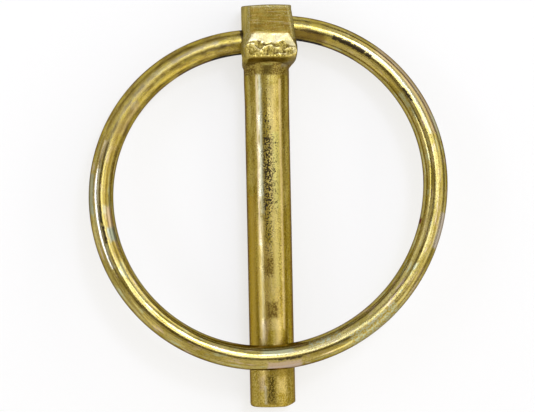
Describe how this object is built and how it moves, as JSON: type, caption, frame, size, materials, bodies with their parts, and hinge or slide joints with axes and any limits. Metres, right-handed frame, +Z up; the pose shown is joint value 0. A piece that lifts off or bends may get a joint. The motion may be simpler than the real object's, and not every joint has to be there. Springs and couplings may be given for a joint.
{
  "type": "lynch pin",
  "caption": "Forged lynch pin: a round shank with a nosed head, and a spring wire ring hinged in the head that snaps down over the shank to lock it.",
  "frame": {"origin": "on the shank's axis where the straight shank meets the neck under the head; the pin lies on its back, so the surface it rests on is 3.175 mm below the origin", "axes": "+Y along the shank towards the head, +Z up out of the ring side of the pin, +X to the right when seen from the ring side with the head at the top"},
  "size_m": [0.0514, 0.0575, 0.01],
  "materials": {
    "pin_plating": "yellow zinc plating on forged steel, semi-gloss, with faint rainbow tints and dark handling marks",
    "ring_plating": "yellow zinc plating on smooth spring wire, glossy, with faint rainbow tints and dark handling marks"
  },
  "bodies": {
    "pin": {"pin": "pin_plating"},
    "ring": {"ring": "ring_plating"}
  },
  "joints": [
    {"name": "ring_hinge", "type": "hinge", "parent": "pin", "child": "ring", "pos_m": [0, 0.0059, 0.0005], "axis": [-1, 0, 0], "range_deg": [0, 180], "stiffness_Nm_per_rad": 0.05, "springref_deg": -20.05}
  ]
}
